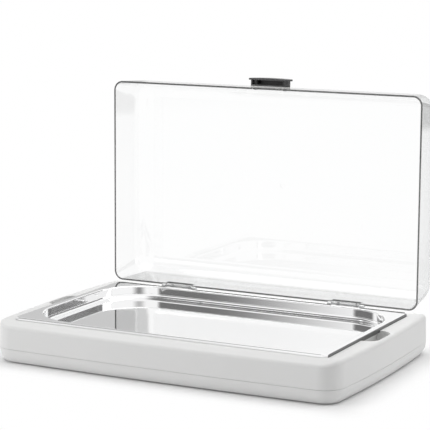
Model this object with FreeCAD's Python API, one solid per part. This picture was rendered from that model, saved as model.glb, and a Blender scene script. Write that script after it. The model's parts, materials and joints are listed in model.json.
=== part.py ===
import FreeCAD, Part
import math
import os

from FreeCAD import Vector

# Chilled food display server: an insulated two-part base, a standard steel
# pan that lifts out, two cold packs under it, and a clear hinged hood.
#
# Millimetres. The origin is on the table under the middle of the pan, +X is to
# the right, +Y to the back and +Z up. The hood is built closed and then swung
# open, because it stands open at rest.

# ------------------------------------------------------------ driving sizes

# Steel pan, full-size standard outline
PAN_WIDTH = 530.0
PAN_DEPTH = 325.0
PAN_HEIGHT = 20.0            # top of the rim to the underside of the floor
PAN_SHEET = 0.8
PAN_RIM_RADIUS = 10.0        # plan corners of the rim
PAN_FLANGE = 11.5            # rim's outer edge to the well
PAN_WELL_RADIUS = 80.0       # plan corners of the well
PAN_SKIRT = 7.7              # turned-down edge of the rim
PAN_EDGE_RADIUS = 2.0        # fold between flange and skirt
PAN_LIP_RADIUS = 2.5         # fold between flange and well
PAN_FLOOR_RADIUS = 7.0       # fold between well and floor
FOLD_MARGIN = 0.01           # keeps a short flat between a fold and its neighbour

# Base, both shells. Its outline is a rectangle with slightly bowed sides,
# stated where it is widest, along the parting line.
SIDE_DECK = 32.0             # from the pan's rim to the left and right sides
FRONT_DECK = 28.5            # from the pan's rim to the front
REAR_DECK = 44.0             # from the pan's rim to the back, behind the hinges
LONG_SIDE_BOW = 8000.0       # radius of the front and back
SHORT_SIDE_BOW = 2300.0      # radius of the left and right sides
BODY_CORNER_RADIUS = 34.0
SHELL_WALL = 2.8
PARTING_HEIGHT = 22.9
PARTING_GAP = 0.4
TONGUE_HEIGHT = 3.0
TONGUE_WALL = 1.2
TONGUE_CLEARANCE = 0.2
DECK_HEIGHT = 64.6
SHOULDER_RUN = 18.5          # at front and back, from the widest line in to the level deck
SHOULDER_ANGLE = 20.5        # fall of the deck outside its level part
CROWN_RADIUS = 14.0          # blend from the level deck to the shoulder
EDGE_RADIUS = 7.0            # blend from the deck and the shoulders to the sides
SIDE_DRAFT = 1.0             # how far the side leans in from parting line to deck
UNDERSIDE_RADIUS = 31.5      # curve from the parting line to the bottom
BOTTOM_HEIGHT = 2.0          # bottom of the lower shell above the table

# Seat of the pan and tub under it
PAN_SIDE_CLEARANCE = 0.75
PAN_SEAT_CLEARANCE = 0.3
PAN_RIM_STAND = 4.5          # rim's top above the deck
TUB_LEDGE = 8.0              # ledge under the rim, from the opening's wall
TUB_CORNER_RADIUS = 40.0
TUB_FLOOR_HEIGHT = 24.0

# Finger pockets at the two short sides
POCKET_LENGTH = 76.0
POCKET_REACH = 23.5          # beyond the pan's rim
POCKET_DEPTH = 18.0
POCKET_CORNER_RADIUS = 20.0
POCKET_SHIFT = 2.0           # pocket's middle behind the pan's middle

# Case screws, posts and bosses
SCREW_RADIUS = 1.75
SCREW_HEAD_RADIUS = 3.5
SCREW_HEAD_HEIGHT = 2.4
SCREW_LENGTH = 18.0
SCREW_DRIVE_RADIUS = 1.6
SCREW_TIP_ROOM = 3.6         # bore beyond the screw's tip
SCREW_HEAD_CLEARANCE = 0.4
SCREW_HOLE_CLEARANCE = 0.05
POST_RADIUS = 4.5
BOSS_RADIUS = 5.5            # lower shell's seat for each post
POST_OFFSET = 7.0            # posts' line beyond the pan's rim
POST_FOOT_HEIGHT = 10.0
FRONT_POST_SPACING = 205.0
REAR_POST_SPACING = 235.0
SIDE_POST_SPACING = 90.0

# Rubber feet
FOOT_RADIUS = 10.0
FOOT_INSET = 62.0            # from the body's sides
FOOT_POCKET_DEPTH = 1.2
FOOT_CLEARANCE = 0.2
FOOT_EDGE_RADIUS = 0.8

# Cold packs
PACK_TOP_GAP = 3.1           # to the underside of the pan
PACK_GAP = 10.0              # between the two packs
PACK_SIDE_CLEARANCE = 8.0    # to the tub's wall
PACK_EDGE_RADIUS = 6.0
PLUG_RADIUS = 11.0
PLUG_HEIGHT = 3.0
PLUG_SLOT_LENGTH = 15.0
PLUG_SLOT_WIDTH = 3.0
PLUG_STEM_RADIUS = 7.0
PLUG_STEM_LENGTH = 8.0
PLUG_CLEARANCE = 1.5
PLUG_INSET = 34.0

# Hood
HOOD_SIDE_OVERHANG = 12.25   # beyond the pan's rim, left and right
HOOD_END_OVERHANG = 8.75     # beyond the pan's rim, front and back
HOOD_HEIGHT = 86.0
HOOD_WALL = 2.8
HOOD_DRAFT = 2.7             # degrees
HOOD_RIM_RADIUS = 16.0
HOOD_ROOF_RADIUS = 32.0      # plan corners at the roof
HOOD_EDGE_RADIUS = 30.0      # blend from the walls to the roof
HOOD_SEAT_GAP = 0.35
GATE_RADIUS = 4.0
GATE_DEPTH = 0.4

# Hinges
AXIS_OFFSET = 2.25           # hinge axis behind the closed hood
AXIS_HEIGHT = 3.5            # hinge axis above the deck
HINGE_SPACING = 153.0        # each hinge from the middle
BLOCK_WIDTH = 49.0
KNUCKLE_RADIUS = 4.4
BLOCK_REACH = 12.0           # from the axis to the block's back
HEEL_CLEARANCE = 0.3
HEEL_ROUND = 1.2
LUG_WIDTH = 7.0
LUG_RADIUS = 3.1
LUG_GAP = 0.5
NOTCH_HEIGHT = 10.8
PIN_RADIUS = 1.25
PIN_CLEARANCE = 0.05
HINGE_SCREW_SPACING = 32.0
HINGE_SCREW_SETBACK = 7.5    # behind the axis
HINGE_SCREW_RADIUS = 1.6
HINGE_SCREW_HEAD_RADIUS = 2.9
HINGE_SCREW_HEAD_HEIGHT = 2.2
HINGE_SCREW_GRIP = 4.5       # depth in the block

# Handle, a cup pull
HANDLE_HEIGHT = 32.5         # handle's middle above the hood's rim
HANDLE_WIDTH = 66.5
HANDLE_TALL = 20.0
HANDLE_BODY_DEPTH = 9.6
HANDLE_BACK_WALL = 2.5
HANDLE_END_WALL = 4.5
HANDLE_TOP_WALL = 3.0
HANDLE_CORNER_RADIUS = 6.0
PLATE_WIDTH = 73.5
PLATE_TALL = 22.0
PLATE_EDGE = 2.8             # thickness at the plate's ends
PLATE_CROWN = 1.0            # extra thickness in the middle
PAD_THICKNESS = 1.8
HANDLE_SCREW_SPACING = 53.0
HANDLE_SCREW_RADIUS = 2.0
HANDLE_SCREW_HEAD_RADIUS = 3.5
HANDLE_SCREW_HEAD_HEIGHT = 2.4
HANDLE_SCREW_TIP_GAP = 0.5
HANDLE_HOLE_CLEARANCE = 0.2
INSERT_RADIUS = 3.0
INSERT_LENGTH = 6.0
INSERT_BOSS_RADIUS = 4.5

# ------------------------------------------------------------ derived places

HALF_X = PAN_WIDTH / 2
HALF_Y = PAN_DEPTH / 2
PAN_TOP = DECK_HEIGHT + PAN_RIM_STAND
PAN_FLOOR_TOP = PAN_TOP - PAN_HEIGHT + PAN_SHEET
SKIRT_BOTTOM = PAN_TOP - PAN_SKIRT
PACK_HEIGHT = PAN_TOP - PAN_HEIGHT - PACK_TOP_GAP - TUB_FLOOR_HEIGHT
LEDGE_HEIGHT = SKIRT_BOTTOM - PAN_SEAT_CLEARANCE
TUB_X = HALF_X + PAN_SIDE_CLEARANCE - TUB_LEDGE
TUB_Y = HALF_Y + PAN_SIDE_CLEARANCE - TUB_LEDGE
BODY_WIDTH = PAN_WIDTH + 2 * SIDE_DECK
BODY_FRONT = HALF_Y + FRONT_DECK
BODY_REAR = HALF_Y + REAR_DECK
BODY_MIDDLE_Y = (BODY_REAR - BODY_FRONT) / 2
HOOD_WIDTH = PAN_WIDTH + 2 * HOOD_SIDE_OVERHANG
HOOD_DEPTH = PAN_DEPTH + 2 * HOOD_END_OVERHANG
HOOD_RIM_HEIGHT = DECK_HEIGHT + HOOD_SEAT_GAP
AXIS_Y = HOOD_DEPTH / 2 + AXIS_OFFSET
AXIS_Z = DECK_HEIGHT + AXIS_HEIGHT
HOOD_SLOPE = math.tan(math.radians(HOOD_DRAFT))
X_AXIS = Vector(1, 0, 0)
Y_AXIS = Vector(0, 1, 0)
Z_AXIS = Vector(0, 0, 1)


# ------------------------------------------------------------ shape helpers

def outline_wire(points, place):
    """Closed wire through corners given as (a, b, radius); place maps (a, b) to space."""
    stops = []
    for index, (a, b, radius) in enumerate(points):
        before = points[index - 1]
        after = points[(index + 1) % len(points)]
        corner = Vector(a, b, 0)
        if radius <= 0:
            stops.append((corner, None, corner))
            continue
        to_before = (Vector(before[0], before[1], 0) - corner).normalize()
        to_after = (Vector(after[0], after[1], 0) - corner).normalize()
        half = to_before.getAngle(to_after) / 2
        bisector = (to_before + to_after).normalize()
        reach = radius / math.tan(half)
        centre = corner + bisector * (radius / math.sin(half))
        stops.append((corner + to_before * reach, centre - bisector * radius, corner + to_after * reach))
    edges = []
    for index, (start, middle, end) in enumerate(stops):
        if middle is not None:
            arc = Part.Arc(place(start.x, start.y), place(middle.x, middle.y), place(end.x, end.y))
            edges.append(arc.toShape())
        following = stops[(index + 1) % len(stops)][0]
        if end.distanceToPoint(following) > 1e-6:
            edges.append(Part.LineSegment(place(end.x, end.y), place(following.x, following.y)).toShape())
    return Part.Wire(edges)


def outline_face(points, place):
    return Part.Face(outline_wire(points, place))


def rectangle(x0, x1, y0, y1, radius):
    return [(x0, y0, radius), (x1, y0, radius), (x1, y1, radius), (x0, y1, radius)]


def prism(x0, x1, y0, y1, radius, z0, z1):
    """Upright block with rounded plan corners."""
    face = outline_face(rectangle(x0, x1, y0, y1, radius), lambda x, y: Vector(x, y, z0))
    return face.extrude(Vector(0, 0, z1 - z0))


def slab(half_x, half_y, radius, z0, z1):
    return prism(-half_x, half_x, -half_y, half_y, radius, z0, z1)


def cylinder(radius, x, y, z0, z1):
    return Part.makeCylinder(radius, z1 - z0, Vector(x, y, z0))


def box(x0, x1, y0, y1, z0, z1):
    return Part.makeBox(x1 - x0, y1 - y0, z1 - z0, Vector(x0, y0, z0))


def joined(shapes):
    return shapes[0].multiFuse(shapes[1:]).removeSplitter()


def turned_to(face, angle, x, y):
    """Face drawn in x and z, turned about the Z axis and then moved to x, y."""
    placed = face.copy()
    placed.rotate(Vector(0, 0, 0), Z_AXIS, angle)
    placed.translate(Vector(x, y, 0))
    return placed


def swept_block(section, inset, half_x, half_y):
    """Block with one section all round, given as (offset beyond the rectangle, height, radius).

    The section starts and ends on the line through the plan corners' centres,
    which lie inside the rectangle by inset.
    """
    points = [(offset + inset, height, radius) for offset, height, radius in section]
    face = outline_face(points, lambda a, b: Vector(a, 0, b))
    x, y = half_x - inset, half_y - inset
    corners = [(-x, -y), (x, -y), (x, y), (-x, y)]
    parts = [box(-x, x, -y, y, face.BoundBox.ZMin, face.BoundBox.ZMax)]
    for index, (corner_x, corner_y) in enumerate(corners):
        next_x, next_y = corners[(index + 1) % 4]
        corner = turned_to(face, 180 + 90 * index, corner_x, corner_y)
        parts.append(corner.revolve(Vector(corner_x, corner_y, 0), Z_AXIS, 90))
        side = turned_to(face, 270 + 90 * index, corner_x, corner_y)
        parts.append(side.extrude(Vector(next_x - corner_x, next_y - corner_y, 0)))
    return joined(parts)


def swung_open(shape):
    """Turn a piece of the closed hood back about the hinge axis, to where it rests."""
    turned = shape.copy()
    turned.rotate(Vector(0, AXIS_Y, AXIS_Z), X_AXIS, -90)
    return turned


def write(name, shape):
    shape.exportStep("parts/" + name + ".step")
    print(name, len(shape.Solids), "solid(s)", round(shape.Volume / 1000, 1), "cm3",
          "valid" if shape.isValid() else "NOT VALID")


# ------------------------------------------------------------ base

def corner_centre(side_x, side_y):
    """Centre of the plan corner that touches the bowed sides at side_x and side_y, each -1 or 1."""
    edge_y = BODY_REAR if side_y > 0 else -BODY_FRONT
    long_centre = Vector(0, edge_y - side_y * LONG_SIDE_BOW, 0)
    short_centre = Vector(side_x * (BODY_WIDTH / 2 - SHORT_SIDE_BOW), BODY_MIDDLE_Y, 0)
    long_reach = LONG_SIDE_BOW - BODY_CORNER_RADIUS
    short_reach = SHORT_SIDE_BOW - BODY_CORNER_RADIUS
    between = short_centre - long_centre
    apart = between.Length
    along = (long_reach ** 2 - short_reach ** 2 + apart ** 2) / (2 * apart)
    across = math.sqrt(long_reach ** 2 - along ** 2)
    direction = between.normalize()
    foot = long_centre + direction * along
    normal = Vector(-direction.y, direction.x, 0)
    choices = [foot + normal * across, foot - normal * across]
    return max(choices, key=lambda point: point.x * side_x + point.y * side_y)


def direction_angle(start, end):
    return math.degrees(math.atan2(end.y - start.y, end.x - start.x))


def body_block(face):
    """Solid with `face` as its section all round the bowed outline.

    The face is drawn in x and z. Its edge on x = 0 runs through the centres of
    the plan corners, and x = BODY_CORNER_RADIUS is the body's widest line.
    """
    low, high = face.BoundBox.ZMin, face.BoundBox.ZMax
    corners = [corner_centre(-1, -1), corner_centre(1, -1), corner_centre(1, 1), corner_centre(-1, 1)]
    sides = [(Vector(0, LONG_SIDE_BOW - BODY_FRONT, 0), LONG_SIDE_BOW),
             (Vector(BODY_WIDTH / 2 - SHORT_SIDE_BOW, BODY_MIDDLE_Y, 0), SHORT_SIDE_BOW),
             (Vector(0, BODY_REAR - LONG_SIDE_BOW, 0), LONG_SIDE_BOW),
             (Vector(SHORT_SIDE_BOW - BODY_WIDTH / 2, BODY_MIDDLE_Y, 0), SHORT_SIDE_BOW)]
    parts = []
    core_edges = []
    for index, (centre, radius) in enumerate(sides):
        start, end = corners[index], corners[(index + 1) % 4]
        start_angle = direction_angle(centre, start)
        sweep = (direction_angle(centre, end) - start_angle) % 360
        inner = radius - BODY_CORNER_RADIUS
        moved = face.copy()
        moved.translate(Vector(inner, 0, 0))
        parts.append(turned_to(moved, start_angle, centre.x, centre.y).revolve(centre, Z_AXIS, sweep))
        middle = math.radians(start_angle + sweep / 2)
        bulge = centre + Vector(math.cos(middle), math.sin(middle), 0) * inner
        lift = Vector(0, 0, low)
        core_edges.append(Part.Arc(start + lift, bulge + lift, end + lift).toShape())
        next_centre = sides[(index + 1) % 4][0]
        corner_start = direction_angle(centre, end)
        corner_sweep = (direction_angle(next_centre, end) - corner_start) % 360
        parts.append(turned_to(face, corner_start, end.x, end.y).revolve(end, Z_AXIS, corner_sweep))
    core = Part.Face(Part.Wire(core_edges)).extrude(Vector(0, 0, high - low))
    return joined([core] + parts)


def side_lean():
    """Lean of the sides above the parting line, run over rise."""
    return SIDE_DRAFT / (DECK_HEIGHT - PARTING_HEIGHT)


def wall_block(wall, bottom):
    """Upright part of the upper shell's outside, drawn in by wall, with a level top and no shoulders."""
    deck = DECK_HEIGHT - wall
    side = BODY_CORNER_RADIUS - wall
    low = side - side_lean() * (bottom - PARTING_HEIGHT)
    high = side - side_lean() * (deck - PARTING_HEIGHT)
    points = [(0, bottom, 0), (low, bottom, 0), (high, deck, 0), (0, deck, 0)]
    return body_block(outline_face(points, lambda a, b: Vector(a, 0, b)))


def shoulder_block(side_y, wall, bottom):
    """Block whose top is the deck and the shoulder that falls away at the front or the back.

    It follows the bow of that side and takes in the whole of the body on the other.
    """
    fall = math.tan(math.radians(SHOULDER_ANGLE))
    deck = DECK_HEIGHT - wall
    crown = LONG_SIDE_BOW - SHOULDER_RUN - wall * math.tan(math.radians(SHOULDER_ANGLE / 2))
    outer = crown + 2 * SHOULDER_RUN
    inner = LONG_SIDE_BOW - 2 * (BODY_FRONT + BODY_REAR)
    points = [(inner, bottom, 0), (outer, bottom, 0), (outer, deck - 2 * SHOULDER_RUN * fall, 0),
              (crown, deck, CROWN_RADIUS - wall), (inner, deck, 0)]
    edge_y = BODY_REAR if side_y > 0 else -BODY_FRONT
    centre = Vector(0, edge_y - side_y * LONG_SIDE_BOW, 0)
    half_angle = math.degrees(math.asin(BODY_WIDTH / inner))
    face = outline_face(points, lambda a, b: Vector(a, 0, b))
    return turned_to(face, side_y * 90 - half_angle, 0, centre.y).revolve(centre, Z_AXIS, 2 * half_angle)


def on_side(block, edge):
    """Whether exactly one of the two faces that meet at the edge is part of a side wall."""
    reach = [face.BoundBox.ZLength > DECK_HEIGHT / 3 for face in block.ancestorsOfType(edge, Part.Face)]
    return len(reach) == 2 and reach[0] != reach[1]


def upper_block(wall, bottom):
    """Upper shell's outside, drawn in by wall: level to the short sides, falling away at front and back."""
    block = wall_block(wall, bottom)
    for side_y in (-1, 1):
        block = block.common(shoulder_block(side_y, wall, bottom))
    # The rim is every edge that the leaning sides share with the top
    rim = [edge for edge in block.Edges if edge.BoundBox.ZMin > DECK_HEIGHT / 2 and on_side(block, edge)]
    return block.makeFillet(EDGE_RADIUS - wall, rim)


def lower_face(wall, bottom):
    """Section of the lower shell's outside, drawn in by wall: a curve down from the parting line."""
    radius = UNDERSIDE_RADIUS - wall
    centre = BODY_CORNER_RADIUS - UNDERSIDE_RADIUS

    def on_curve(height):
        return Vector(centre + math.sqrt(radius ** 2 - (PARTING_HEIGHT - height) ** 2), 0, height)

    start, middle, end = on_curve(bottom), on_curve((bottom + PARTING_HEIGHT) / 2), on_curve(PARTING_HEIGHT)
    above = Vector(end.x, 0, PARTING_HEIGHT + SHELL_WALL)
    return Part.Face(Part.Wire([
        Part.LineSegment(Vector(0, 0, bottom), start).toShape(), Part.Arc(start, middle, end).toShape(),
        Part.LineSegment(end, above).toShape(), Part.LineSegment(above, Vector(0, 0, above.z)).toShape(),
        Part.LineSegment(Vector(0, 0, above.z), Vector(0, 0, bottom)).toShape()]))


def cut_above(block, height):
    size = block.BoundBox
    return block.cut(box(size.XMin - 1, size.XMax + 1, size.YMin - 1, size.YMax + 1, height, size.ZMax + 1))


def post_places():
    front = -HALF_Y - POST_OFFSET
    back = BODY_REAR - SHOULDER_RUN - POST_RADIUS
    side = HALF_X + POST_OFFSET
    places = [(x, front) for x in (-FRONT_POST_SPACING, 0, FRONT_POST_SPACING)]
    places += [(x, back) for x in (-REAR_POST_SPACING, 0, REAR_POST_SPACING)]
    places += [(x, y) for x in (-side, side) for y in (-SIDE_POST_SPACING, SIDE_POST_SPACING)]
    return places


def screw_seat():
    return BOTTOM_HEIGHT + SCREW_HEAD_HEIGHT + SCREW_HEAD_CLEARANCE


def hinge_screw_places():
    y = AXIS_Y + HINGE_SCREW_SETBACK
    half = HINGE_SCREW_SPACING / 2
    return [(side * HINGE_SPACING + x, y) for side in (-1, 1) for x in (-half, half)]


def pocket_block(side, grow, floor, top):
    """Finger pocket, round at its outer corners, that runs out from the tub's wall."""
    inner = side * (TUB_X + SHELL_WALL - grow)
    outer = side * (HALF_X + POCKET_REACH + grow)
    front = POCKET_SHIFT - POCKET_LENGTH / 2 - grow
    back = POCKET_SHIFT + POCKET_LENGTH / 2 + grow
    radius = POCKET_CORNER_RADIUS + grow
    points = [(inner, front, 0), (outer, front, radius), (outer, back, radius), (inner, back, 0)]
    face = outline_face(points, lambda x, y: Vector(x, y, floor - grow))
    return face.extrude(Vector(0, 0, top - floor + grow))


def upper_shell():
    over = DECK_HEIGHT + 5
    outside = upper_block(0, PARTING_HEIGHT + PARTING_GAP / 2)
    inside = upper_block(SHELL_WALL, PARTING_HEIGHT - 1)
    opening_x = HALF_X + PAN_SIDE_CLEARANCE
    opening_y = HALF_Y + PAN_SIDE_CLEARANCE
    opening_radius = PAN_RIM_RADIUS + PAN_SIDE_CLEARANCE
    in_deck = DECK_HEIGHT - SHELL_WALL / 2
    rim_wall = slab(opening_x + SHELL_WALL, opening_y + SHELL_WALL, opening_radius + SHELL_WALL,
                    LEDGE_HEIGHT - SHELL_WALL, in_deck)
    tub = slab(TUB_X + SHELL_WALL, TUB_Y + SHELL_WALL, TUB_CORNER_RADIUS + SHELL_WALL,
               TUB_FLOOR_HEIGHT - SHELL_WALL, LEDGE_HEIGHT)
    pocket_floor = DECK_HEIGHT - POCKET_DEPTH
    added = [rim_wall, tub]
    for side in (-1, 1):
        added.append(pocket_block(side, SHELL_WALL, pocket_floor, in_deck).common(outside))
    for x, y in post_places():
        added.append(cylinder(POST_RADIUS, x, y, POST_FOOT_HEIGHT, in_deck))
    shell = joined([outside.cut(inside)] + added)
    cuts = [slab(opening_x, opening_y, opening_radius, LEDGE_HEIGHT, over),
            slab(TUB_X, TUB_Y, TUB_CORNER_RADIUS, TUB_FLOOR_HEIGHT, over)]
    cuts += [pocket_block(side, 0, pocket_floor, over) for side in (-1, 1)]
    screw_bore = SCREW_RADIUS + SCREW_HOLE_CLEARANCE
    bore_top = screw_seat() + SCREW_LENGTH + SCREW_TIP_ROOM
    for x, y in post_places():
        cuts.append(cylinder(screw_bore, x, y, POST_FOOT_HEIGHT - 1, bore_top))
    hinge_bore = HINGE_SCREW_RADIUS + SCREW_HOLE_CLEARANCE
    for x, y in hinge_screw_places():
        cuts.append(cylinder(hinge_bore, x, y, DECK_HEIGHT - SHELL_WALL - 1, over))
    return shell.cut(Part.makeCompound(cuts))


def foot_places():
    x = BODY_WIDTH / 2 - FOOT_INSET
    front = FOOT_INSET - BODY_FRONT
    back = BODY_REAR - FOOT_INSET
    return {"front_left": (-x, front), "front_right": (x, front),
            "rear_left": (-x, back), "rear_right": (x, back)}


def lower_shell():
    rim = PARTING_HEIGHT - PARTING_GAP / 2
    floor = BOTTOM_HEIGHT + SHELL_WALL
    outside = cut_above(body_block(lower_face(0, BOTTOM_HEIGHT)), rim)
    inside = body_block(lower_face(SHELL_WALL, floor))
    # Tongue that stands up inside the upper shell, on a root inside the wall
    tongue_low = PARTING_HEIGHT - TONGUE_HEIGHT
    tongue_in = SHELL_WALL + TONGUE_CLEARANCE
    tongue_hole = wall_block(tongue_in + TONGUE_WALL, tongue_low - 1)
    tongue = cut_above(wall_block(tongue_in, tongue_low), PARTING_HEIGHT + TONGUE_HEIGHT)
    root = cut_above(body_block(lower_face(SHELL_WALL / 2, tongue_low)), rim)
    added = [tongue.cut(tongue_hole), root.cut(tongue_hole)]
    for x, y in post_places():
        added.append(cylinder(BOSS_RADIUS, x, y, BOTTOM_HEIGHT + SHELL_WALL / 2, POST_FOOT_HEIGHT))
    shell = joined([outside.cut(inside)] + added)
    cuts = []
    for x, y in post_places():
        cuts.append(cylinder(SCREW_RADIUS + SCREW_HEAD_CLEARANCE, x, y,
                             BOTTOM_HEIGHT - 1, POST_FOOT_HEIGHT + 1))
        cuts.append(cylinder(SCREW_HEAD_RADIUS + SCREW_HEAD_CLEARANCE, x, y, BOTTOM_HEIGHT - 1, screw_seat()))
    for x, y in foot_places().values():
        cuts.append(cylinder(FOOT_RADIUS + FOOT_CLEARANCE, x, y,
                             BOTTOM_HEIGHT - 1, BOTTOM_HEIGHT + FOOT_POCKET_DEPTH))
    return shell.cut(Part.makeCompound(cuts))


def insulation_slab():
    return slab(TUB_X, TUB_Y, TUB_CORNER_RADIUS, BOTTOM_HEIGHT + SHELL_WALL, TUB_FLOOR_HEIGHT - SHELL_WALL)


def case_screws():
    seat = screw_seat()
    screws = []
    for x, y in post_places():
        head = cylinder(SCREW_HEAD_RADIUS, x, y, seat - SCREW_HEAD_HEIGHT, seat)
        shank = cylinder(SCREW_RADIUS, x, y, seat, seat + SCREW_LENGTH)
        drive = cylinder(SCREW_DRIVE_RADIUS, x, y, seat - SCREW_HEAD_HEIGHT, seat - SCREW_HEAD_HEIGHT / 2)
        screws.append(head.fuse(shank).cut(drive))
    return Part.makeCompound(screws)


def foot(x, y):
    body = cylinder(FOOT_RADIUS, x, y, 0, BOTTOM_HEIGHT + FOOT_POCKET_DEPTH)
    rim = [edge for edge in body.Edges if edge.BoundBox.ZMax < 0.01]
    return body.makeFillet(FOOT_EDGE_RADIUS, rim)


# ------------------------------------------------------------ cold packs

def cold_pack(side):
    half_y = TUB_Y - PACK_SIDE_CLEARANCE
    near = PACK_GAP / 2
    far = TUB_X - PACK_SIDE_CLEARANCE
    x0, x1 = (near, far) if side > 0 else (-far, -near)
    corner = TUB_CORNER_RADIUS - PACK_SIDE_CLEARANCE
    top = TUB_FLOOR_HEIGHT + PACK_HEIGHT
    pack = prism(x0, x1, -half_y, half_y, corner, TUB_FLOOR_HEIGHT, top)
    rounded = [edge for edge in pack.Edges if edge.BoundBox.ZLength < 0.01]
    pack = pack.makeFillet(PACK_EDGE_RADIUS, rounded)
    x, y = plug_place(side)
    recess = cylinder(PLUG_RADIUS + PLUG_CLEARANCE, x, y, top - PLUG_HEIGHT, top + 1)
    bore = cylinder(PLUG_STEM_RADIUS, x, y, top - PLUG_HEIGHT - PLUG_STEM_LENGTH, top)
    return pack.cut(recess).cut(bore)


def plug_place(side):
    return side * (PACK_GAP / 2 + PLUG_INSET), -TUB_Y + PACK_SIDE_CLEARANCE + PLUG_INSET


def cold_pack_plug(side):
    x, y = plug_place(side)
    top = TUB_FLOOR_HEIGHT + PACK_HEIGHT
    cap = cylinder(PLUG_RADIUS, x, y, top - PLUG_HEIGHT, top)
    slot = box(x - PLUG_SLOT_LENGTH / 2, x + PLUG_SLOT_LENGTH / 2,
               y - PLUG_SLOT_WIDTH / 2, y + PLUG_SLOT_WIDTH / 2, top - PLUG_HEIGHT / 2, top + 1)
    stem = cylinder(PLUG_STEM_RADIUS, x, y, top - PLUG_HEIGHT - PLUG_STEM_LENGTH, top - PLUG_HEIGHT)
    return cap.fuse(stem).cut(slot)


# ------------------------------------------------------------ pan

def top_edges(block):
    height = block.BoundBox.ZMax
    return [edge for edge in block.Edges if edge.BoundBox.ZMin > height - 0.01]


def bottom_edges(block):
    height = block.BoundBox.ZMin
    return [edge for edge in block.Edges if edge.BoundBox.ZMax < height + 0.01]


def steel_pan():
    x, y = HALF_X - PAN_FLANGE, HALF_Y - PAN_FLANGE
    sheet_top = PAN_TOP - PAN_SHEET
    # Rim: flange and turned-down skirt, hollow below
    rim = slab(HALF_X, HALF_Y, PAN_RIM_RADIUS, SKIRT_BOTTOM, PAN_TOP)
    rim = rim.makeFillet(PAN_EDGE_RADIUS, top_edges(rim))
    under = slab(HALF_X - PAN_SHEET, HALF_Y - PAN_SHEET, PAN_RIM_RADIUS - PAN_SHEET,
                 SKIRT_BOTTOM - 1, sheet_top)
    under = under.makeFillet(PAN_EDGE_RADIUS - PAN_SHEET, top_edges(under))
    # Outside of the well, flaring into the flange with the lip's fold
    flare = PAN_LIP_RADIUS - PAN_SHEET
    collar_bottom = SKIRT_BOTTOM - 2
    collar = swept_block([(-PAN_WELL_RADIUS, collar_bottom, 0), (PAN_SHEET, collar_bottom, 0),
                          (PAN_SHEET, sheet_top, flare), (PAN_LIP_RADIUS + flare, sheet_top, 0),
                          (PAN_LIP_RADIUS + flare, PAN_TOP, 0), (-PAN_WELL_RADIUS, PAN_TOP, 0)],
                         PAN_WELL_RADIUS, x, y)
    well_out = slab(x + PAN_SHEET, y + PAN_SHEET, PAN_WELL_RADIUS + PAN_SHEET,
                    PAN_FLOOR_TOP - PAN_SHEET, sheet_top)
    well_out = well_out.makeFillet(PAN_FLOOR_RADIUS + PAN_SHEET, bottom_edges(well_out))
    skin = rim.cut(under.cut(collar)).fuse(well_out)
    # Inside of the well, rolled over at the lip and folded at the floor
    well_in = slab(x, y, PAN_WELL_RADIUS, PAN_FLOOR_TOP, PAN_TOP + 1)
    well_in = well_in.makeFillet(PAN_FLOOR_RADIUS, bottom_edges(well_in))
    lip = swept_block([(-PAN_WELL_RADIUS, PAN_TOP - PAN_LIP_RADIUS, 0), (0, PAN_TOP - PAN_LIP_RADIUS, 0),
                       (0, PAN_TOP, PAN_LIP_RADIUS - FOLD_MARGIN), (PAN_LIP_RADIUS, PAN_TOP, 0),
                       (PAN_LIP_RADIUS, PAN_TOP + 1, 0), (-PAN_WELL_RADIUS, PAN_TOP + 1, 0)],
                      PAN_WELL_RADIUS, x, y)
    return skin.cut(well_in).cut(lip).removeSplitter()


# ------------------------------------------------------------ hood and handle

def hood_block(wall):
    """Solid of the hood's outside, drawn in by wall, standing on its rim."""
    height = HOOD_HEIGHT - wall
    low = wall
    lean = height * HOOD_SLOPE
    half_x, half_y = HOOD_WIDTH / 2 - low, HOOD_DEPTH / 2 - low
    start = HOOD_RIM_HEIGHT if wall == 0 else HOOD_RIM_HEIGHT - 1
    grow = 0 if wall == 0 else HOOD_SLOPE
    rim = outline_wire(rectangle(-half_x - grow, half_x + grow, -half_y - grow, half_y + grow,
                                 HOOD_RIM_RADIUS - wall), lambda x, y: Vector(x, y, start))
    roof_height = HOOD_RIM_HEIGHT + height
    roof = outline_wire(rectangle(-half_x + lean, half_x - lean, -half_y + lean, half_y - lean,
                                  HOOD_ROOF_RADIUS - wall), lambda x, y: Vector(x, y, roof_height))
    block = Part.makeLoft([rim, roof], True, True)
    edges = [edge for edge in block.Edges if edge.BoundBox.ZMin > roof_height - 0.01]
    return block.makeFillet(HOOD_EDGE_RADIUS - wall, edges)


def lug_outline(x0, x1):
    """Ear on the outside of the hood's back wall, round about the hinge axis."""
    barrel = Part.makeCylinder(LUG_RADIUS, x1 - x0, Vector(x0, AXIS_Y, AXIS_Z), X_AXIS)
    wall_y = HOOD_DEPTH / 2 - HOOD_WALL / 2
    web = box(x0, x1, wall_y - 2 * LUG_RADIUS * HOOD_SLOPE, AXIS_Y, AXIS_Z - LUG_RADIUS, AXIS_Z + LUG_RADIUS)
    return barrel.fuse(web)


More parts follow.
